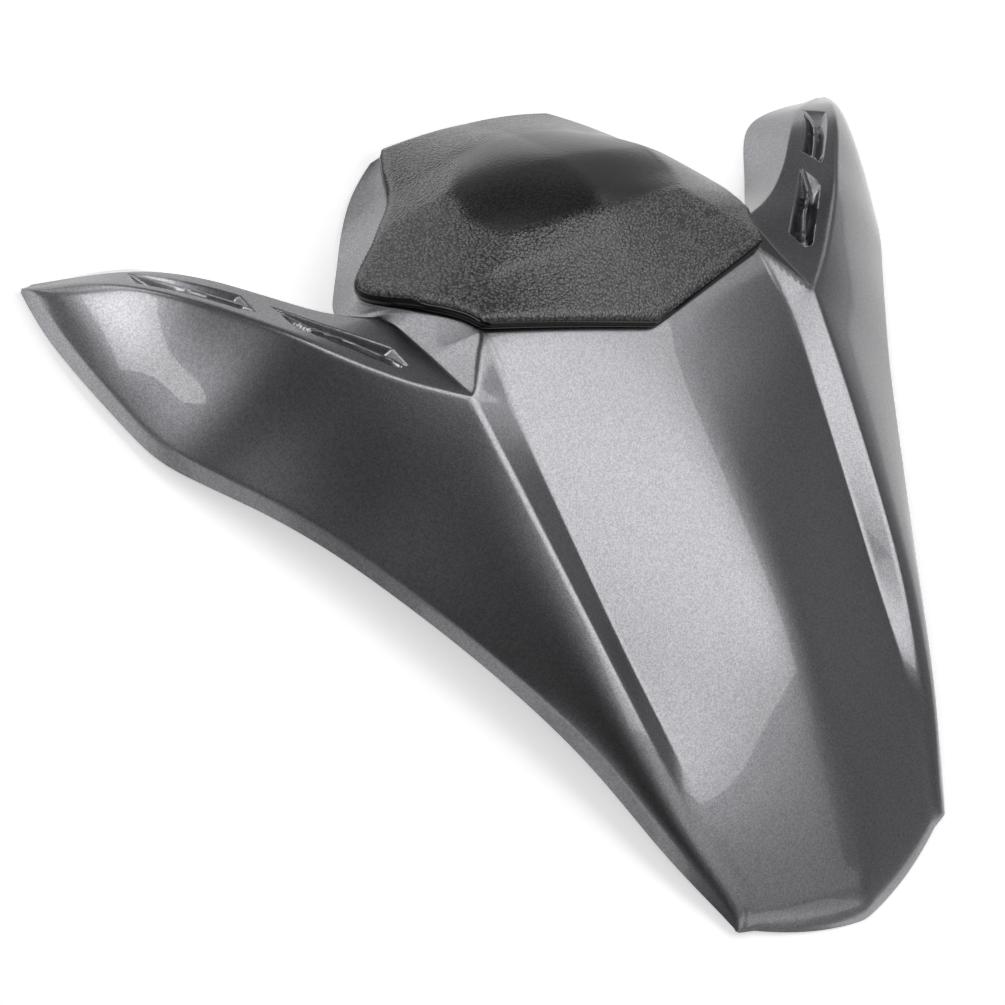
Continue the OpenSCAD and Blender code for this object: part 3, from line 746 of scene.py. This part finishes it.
# Pad
# Moulded foam under black grained vinyl. A raised middle with corners stands over facets that run down
# to a rolled edge; the facets meet along soft lines.
PAD_LOW = 1.8
PAD_RISE = 4.8
HIP_SHARE = [(6, 1), (7.5, 0.46), (9, 0.62), (10.1, 0.5), (12, 0.6)]
HIP_RISE = [(6, 0), (6.9, 0.38), (7.5, 1), (9, 0.85), (10.1, 0.3), (12, 0)]
MIDDLE_RISE = [(6, 0), (6.9, 0.1), (7.5, 0.5), (9, 0.6), (10.1, 0.5), (12, 0)]
PAD_ROLL = 3.2
ROLL_FOOT = 0.12
PAD_ROWS = 150
PAD_HALF_COLUMNS = 64
PAD_REACH = 0.983
PAD_INSET = 0.02
PAD_SUNK = 0.2
PAD_SHARP = 70


def looked_up(s, table):
    return float(np.interp(s, [row[0] for row in table], [row[1] for row in table]))


# Keeps the height finite where the hip line meets the pad's edge
HIP_SLACK = 0.0001


def pad_height(s, v):
    hip, top = looked_up(s, HIP_SHARE), looked_up(s, HIP_RISE)
    if v < hip:
        share = between(looked_up(s, MIDDLE_RISE), top, (v / hip) ** 2)
    else:
        share = top * (1 - v) / (1 + HIP_SLACK - hip)
    return PAD_LOW + PAD_RISE * share


PLATEAU_REAR, PLATEAU_FRONT = 7.55, 10.3
PLATEAU_BLEND = 0.12
SHARE_TO_STATIONS = 2.5
EASE_ROUNDS = 5


def on_plateau(s, v):
    """1 on the raised middle, 0 on the facets round it, with a short blend between."""
    inward = min(s - PLATEAU_REAR, PLATEAU_FRONT - s,
                 SHARE_TO_STATIONS * (looked_up(s, HIP_SHARE) - abs(v)))
    return min(max(0.5 + 0.5 * inward / PLATEAU_BLEND, 0), 1)


def relaxed(grid, rounds):
    """The grid with its inner points eased towards their neighbours; its border stays."""
    grid = grid.copy()
    for _ in range(rounds):
        beside = 0.25 * (grid[:-2, 1:-1] + grid[2:, 1:-1] + grid[1:-1, :-2] + grid[1:-1, 2:])
        grid[1:-1, 1:-1] += 0.5 * (beside - grid[1:-1, 1:-1])
    return grid


shares = [PAD_REACH * k / PAD_HALF_COLUMNS for k in range(-PAD_HALF_COLUMNS, PAD_HALF_COLUMNS + 1)]
lines = [PAD_START + PAD_INSET + (PAD_END - PAD_START - 2 * PAD_INSET) * k / PAD_ROWS
         for k in range(PAD_ROWS + 1)]
base_top = PAD_GAP + BASE_THICK
seat = np.array([[above_hump(s, v, base_top - PAD_SUNK) for v in shares] for s in lines])
top = np.array([[above_hump(s, v, base_top + pad_height(s, abs(v))) for v in shares] for s in lines])
top = relaxed(top, EASE_ROUNDS)
rim_points = np.concatenate([seat[0], seat[-1], seat[:, 0], seat[:, -1]])
away = np.min(np.linalg.norm(seat[:, :, None] - rim_points[None, None, ::2], axis=3), axis=2)
roll = np.sqrt(1 - (1 - np.clip(away / PAD_ROLL, 0, 1)) ** 2)
top = seat + (top - seat) * (ROLL_FOOT + (1 - ROLL_FOOT) * roll[:, :, None])


def pad_mesh():
    n = len(shares)
    rows = len(lines)
    points = np.concatenate([top.reshape(-1, 3), seat.reshape(-1, 3)])
    faces = []
    for i in range(rows - 1):
        for j in range(n - 1):
            a = i * n + j
            faces.append((a, a + 1, a + n + 1, a + n))
            b = rows * n + a
            faces.append((b, b + n, b + n + 1, b + 1))
    border = (list(range(n - 1)) + [i * n + n - 1 for i in range(rows - 1)]
              + [(rows - 1) * n + j for j in range(n - 1, 0, -1)]
              + [i * n for i in range(rows - 1, 0, -1)])
    for a, b in zip(border, border[1:] + border[:1]):
        faces.append((b, a, rows * n + a, rows * n + b))
    mesh = bpy.data.meshes.new("grained_pad")
    mesh.from_pydata([point(*p) for p in points], [], faces)
    return mesh


pad_data = pad_mesh()
pad = smooth_object("grained_pad", pad_data, PAD_SHARP)
plateau = pad_data.attributes.new("plateau", "FLOAT", "POINT")
plateau.data.foreach_set("value", [on_plateau(s, v) for s in lines for v in shares] * 2)

# Black seat vinyl, embossed with a pebble grain that sparkles in raking light. Its crowns are painted
# paler, a painted highlight that stands in for the grain's glints; the raised middle is smoother and
# gets none.
GRAIN_MM = 1.0
WRINKLE_MM = 2 / 3
GLINT_FALL = 1.7
PLATEAU_SMOOTH = 0.85
vinyl, tree = new_material("grained_black_vinyl")
spot = add(tree, "ShaderNodeTexCoord").outputs["Object"]
pebbles = add(tree, "ShaderNodeTexVoronoi", {"feature": "F1"}, Vector=spot, Scale=1 / (GRAIN_MM * MM))
fine = add(tree, "ShaderNodeTexNoise", None, Vector=spot, Scale=1 / (WRINKLE_MM * MM), Detail=3.0)
mixed = add(tree, "ShaderNodeMath", {"operation": "ADD"}, n0=pebbles.outputs["Distance"],
            n1=fine.outputs["Fac"])
middle = add(tree, "ShaderNodeAttribute", {"attribute_name": "plateau"})
embossed = add(tree, "ShaderNodeMath", {"operation": "MULTIPLY_ADD"}, n0=middle.outputs["Fac"],
               n1=-PLATEAU_SMOOTH, n2=1.0)
height = add(tree, "ShaderNodeMath", {"operation": "MULTIPLY"}, n0=mixed.outputs["Value"],
             n1=embossed.outputs["Value"])
grain = add(tree, "ShaderNodeBump", None, Strength=1.0, Distance=0.0002, Height=height.outputs["Value"])
# The pebble crowns are painted paler here: a painted highlight for the grain's glints, kept off the
# raised middle
crown_glints = add(tree, "ShaderNodeMath", {"operation": "MULTIPLY_ADD"}, n0=pebbles.outputs["Distance"],
             n1=-GLINT_FALL, n2=1.0)
painted_glints = add(tree, "ShaderNodeMath", {"operation": "MULTIPLY"}, n0=crown_glints.outputs["Value"],
           n1=embossed.outputs["Value"])
tone = two_tones(tree, painted_glints.outputs["Value"], "1b1b1c", "78787a")
body = add(tree, "ShaderNodeBsdfPrincipled", None, Base_Color=tone, Roughness=0.22,
           Normal=grain.outputs["Normal"])
body.inputs["IOR"].default_value = 1.85
add(tree, "ShaderNodeOutputMaterial", None, Surface=body.outputs["BSDF"])
pad_data.materials.append(vinyl)
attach(pad, "root")
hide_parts("top_pad")

# Carrier
# Black glass-filled nylon, moulded with a light spark texture; it is screwed to bosses under the hump.
# The texture is drawn coarser than a real one, so that it shows.
SPARK_MM = 5 / 7
textured_nylon, tree = new_material("textured_black_nylon")
spot = add(tree, "ShaderNodeTexCoord").outputs["Object"]
spark = add(tree, "ShaderNodeTexNoise", None, Vector=spot, Scale=1 / (SPARK_MM * MM), Detail=4.0)
etch = add(tree, "ShaderNodeBump", None, Strength=0.3, Distance=0.0002, Height=spark.outputs["Fac"])
tone = two_tones(tree, spark.outputs["Fac"], "1a1a1b", "2c2c2e")
body = add(tree, "ShaderNodeBsdfPrincipled", None, Base_Color=tone, Roughness=0.6,
           Normal=etch.outputs["Normal"])
add(tree, "ShaderNodeOutputMaterial", None, Surface=body.outputs["BSDF"])
dress(["carrier"], textured_nylon)

# Latch loop, its plate, nuts and the carrier's screws
# Bright zinc-plated steel: a thin crystalline plating, so the tone changes softly over each piece. The
# crystals are drawn coarser than real ones, so that they show.
SPANGLE_MM = 10 / 9
zinc, tree = new_material("zinc_plated_steel")
spot = add(tree, "ShaderNodeTexCoord").outputs["Object"]
spangle = add(tree, "ShaderNodeTexVoronoi", {"feature": "F1"}, Vector=spot, Scale=1 / (SPANGLE_MM * MM))
tone = two_tones(tree, spangle.outputs["Color"], "a9aaac", "c6c7c8")
body = add(tree, "ShaderNodeBsdfPrincipled", None, Base_Color=tone, Metallic=1.0,
           Roughness=0.34)
add(tree, "ShaderNodeOutputMaterial", None, Surface=body.outputs["BSDF"])
dress(["latch_loop", "loop_plate", "loop_nut_1", "loop_nut_2"], zinc)
dress([f"carrier_screw_{k}" for k in range(1, 5)], zinc)

# Pad clips
# Push-on clips of dark phosphated spring steel, pressed onto the tray's studs inside the hump.
PATCH_MM = 2
phosphated, tree = new_material("phosphated_spring_steel")
spot = add(tree, "ShaderNodeTexCoord").outputs["Object"]
patches = add(tree, "ShaderNodeTexNoise", None, Vector=spot, Scale=1 / (PATCH_MM * MM), Detail=3.0)
tone = two_tones(tree, patches.outputs["Fac"], "3c3c3e", "5a5a5c")
body = add(tree, "ShaderNodeBsdfPrincipled", None, Base_Color=tone, Metallic=0.9,
           Roughness=0.45)
add(tree, "ShaderNodeOutputMaterial", None, Surface=body.outputs["BSDF"])
dress([f"pad_clip_{k}" for k in range(1, 5)], phosphated)

# Bumpers
# Feet of black moulded rubber, dull and slightly dusty, pulled through holes in the carrier.
BLOOM_MM = 10 / 7
rubber, tree = new_material("black_moulded_rubber")
spot = add(tree, "ShaderNodeTexCoord").outputs["Object"]
bloom = add(tree, "ShaderNodeTexNoise", None, Vector=spot, Scale=1 / (BLOOM_MM * MM), Detail=3.0)
tone = two_tones(tree, bloom.outputs["Fac"], "141414", "262626")
skin = add(tree, "ShaderNodeBump", None, Strength=0.2, Distance=0.0002, Height=bloom.outputs["Fac"])
body = add(tree, "ShaderNodeBsdfPrincipled", None, Base_Color=tone, Roughness=0.75,
           Normal=skin.outputs["Normal"])
add(tree, "ShaderNodeOutputMaterial", None, Surface=body.outputs["BSDF"])
dress([f"bumper_{k}" for k in range(1, 5)], rubber)

# Floor and light
# A plain white sweep under plain soft boxes, so that the paint shows the creases as bands of light. The
# sweep glows a little by itself, so it stays white to its edges while the cowl's shadow shows on it.
SWEEP_LIFT = 0.45
FLOOR_HALF = 3.0
floor_corners = [(x * FLOOR_HALF, y * FLOOR_HALF, 0) for x, y in ((-1, -1), (1, -1), (1, 1), (-1, 1))]
floor_mesh = bpy.data.meshes.new("floor")
floor_mesh.from_pydata(floor_corners, [], [(0, 1, 2, 3)])
floor = bpy.data.objects.new("floor", floor_mesh)
bpy.context.scene.collection.objects.link(floor)
sweep, tree = new_material("white_sweep")
paper = add(tree, "ShaderNodeBsdfPrincipled", None, Base_Color=srgb("fafafa"), Roughness=0.9)
ray = add(tree, "ShaderNodeLightPath")
mirrored_rays = add(tree, "ShaderNodeMath", {"operation": "MAXIMUM"}, n0=ray.outputs["Is Glossy Ray"],
                    n1=ray.outputs["Is Transmission Ray"])
seen = add(tree, "ShaderNodeMath", {"operation": "MAXIMUM"}, n0=ray.outputs["Is Camera Ray"],
           n1=mirrored_rays.outputs["Value"])
lift = add(tree, "ShaderNodeMath", {"operation": "MULTIPLY"}, n0=seen.outputs["Value"], n1=SWEEP_LIFT)
glow = add(tree, "ShaderNodeEmission", None, Strength=lift.outputs["Value"])
both = add(tree, "ShaderNodeAddShader", None, n0=paper.outputs["BSDF"], n1=glow.outputs["Emission"])
add(tree, "ShaderNodeOutputMaterial", None, Surface=both.outputs["Shader"])
floor_mesh.materials.append(sweep)

# The studio is pale near the floor, grey on its walls and dark above; heights are sines of the angle
world = bpy.data.worlds.new("studio")
bpy.context.scene.world = world
world.use_nodes = True
tree = world.node_tree
tree.nodes.clear()
heading = add(tree, "ShaderNodeTexCoord").outputs["Generated"]
height = add(tree, "ShaderNodeSeparateXYZ", None, Vector=heading).outputs["Z"]
shade = add(tree, "ShaderNodeValToRGB", None, Fac=height)
stops = shade.color_ramp.elements
WALL_TONES = [(0.0, "d0d0d0"), (0.12, "7e7e7e"), (0.4, "7e7e7e"), (0.5, "606060"), (0.66, "1a1a1a")]
for place, code in WALL_TONES:
    stop = stops[0] if place == 0 else stops.new(place)
    stop.color = srgb(code)
stops.remove(stops[len(stops) - 1])
room = add(tree, "ShaderNodeBackground", None, Color=shade.outputs["Color"])
add(tree, "ShaderNodeOutputWorld", None, Surface=room.outputs["Background"])


def soft_box(name, place, target, width, height, level):
    """A soft box whose face is as bright as white paper at level 1."""
    lamp = bpy.data.lights.new(name, "AREA")
    lamp.shape = "RECTANGLE"
    lamp.size, lamp.size_y, lamp.energy = width, height, level * width * height * math.pi
    holder = bpy.data.objects.new(name, lamp)
    holder.location = Vector(place)
    holder.rotation_euler = (Vector(target) - Vector(place)).to_track_quat("-Z", "Y").to_euler()
    bpy.context.scene.collection.objects.link(holder)


soft_box("overhead_box", (0.44, -0.03, 1.0), (0.44, -0.03, 0), 0.86, 1.08, 1.85)
soft_box("left_box", (-1.02, 0.45, 1.18), (0, 0, 0), 1.35, 0.5, 3.2)
soft_box("front_box", (-0.24, 1.32, 0.9), (0, 0, 0), 0.8, 0.55, 1.5)
soft_box("low_front_box", (-0.4, 1.5, 0.4), (0, 0, 0), 0.8, 0.3, 0.7)
soft_box("right_box", (1.14, 0.61, 0.94), (0, 0, 0), 0.7, 0.5, 0.6)
soft_box("low_rear_box", (0.36, -1.34, 0.8), (0, 0, 0), 0.74, 0.45, 0.8)
soft_box("rear_overhead_box", (0.55, -0.85, 1.0), (0.55, -0.85, 0), 0.7, 0.45, 0.4)
soft_box("low_left_box", (-1.15, -0.85, 0.45), (0, 0, 0), 0.9, 0.3, 0.6)
